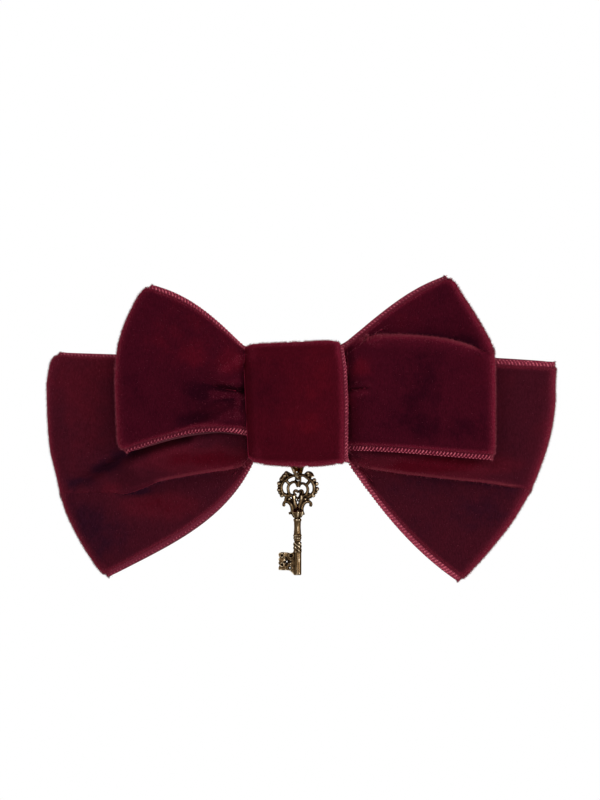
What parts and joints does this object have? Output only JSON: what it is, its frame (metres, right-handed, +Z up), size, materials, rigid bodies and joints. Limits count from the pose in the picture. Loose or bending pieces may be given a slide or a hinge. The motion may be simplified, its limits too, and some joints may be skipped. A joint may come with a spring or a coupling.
{
  "type": "hair barrette",
  "caption": "Hair barrette: a velvet double bow pinched by a velvet wrap, with a hanging cast key charm and a hinged metal spring clip behind.",
  "frame": {"origin": "middle of the clip's closed hair gap, behind the centre of the knot", "axes": "+X to the right seen from the front, +Z up as worn, -Y toward the viewer and +Y toward the head"},
  "size_m": [0.1093, 0.0272, 0.0653],
  "materials": {
    "bow_velvet": "cut-pile velvet, wine red",
    "wrap_velvet": "cut-pile velvet, wine red",
    "thread": "twisted sewing thread",
    "bronze": "antiqued cast bronze colour",
    "clip_steel": "nickel-plated sheet steel"
  },
  "bodies": {
    "bow": {"front_bow_ribbon": "bow_velvet", "rear_bow_ribbon": "bow_velvet", "centre_wrap": "wrap_velvet", "front_gather_thread": "thread", "rear_gather_thread": "thread", "charm_thread_loop": "thread", "clip_base_plate": "clip_steel", "clip_hinge_pin": "clip_steel", "clip_tension_spring": "clip_steel", "spring_rivet": "clip_steel", "catch_base": "clip_steel", "catch_rivet": "clip_steel"},
    "arm": {"clasp_arm": "clip_steel"},
    "upper_wing": {"catch_wing_upper": "clip_steel"},
    "lower_wing": {"catch_wing_lower": "clip_steel"},
    "ring": {"jump_ring": "bronze"},
    "key": {"key_charm": "bronze"}
  },
  "joints": [
    {"name": "arm_hinge", "type": "hinge", "parent": "bow", "child": "arm", "pos_m": [-0.038, 0.00305, 0], "axis": [0, 0, 1], "range_deg": [0, 105]},
    {"name": "upper_wing_squeeze", "type": "hinge", "parent": "bow", "child": "upper_wing", "pos_m": [0.0368, 0.0008, 0.00205], "axis": [-1, 0, 0], "range_deg": [0, 12], "stiffness_Nm_per_rad": 0.05},
    {"name": "lower_wing_squeeze", "type": "hinge", "parent": "bow", "child": "lower_wing", "pos_m": [0.0368, 0.0008, -0.00205], "axis": [1, 0, 0], "range_deg": [0, 12], "stiffness_Nm_per_rad": 0.05},
    {"name": "ring_swing", "type": "hinge", "parent": "bow", "child": "ring", "pos_m": [0, -0.0026, -0.0127], "axis": [0.788, -0.6157, 0], "range_deg": [-18, 40]},
    {"name": "key_swing", "type": "hinge", "parent": "ring", "child": "key", "pos_m": [0, -0.0026, -0.01635], "axis": [0.6157, 0.788, 0], "range_deg": [-35, 35]}
  ]
}
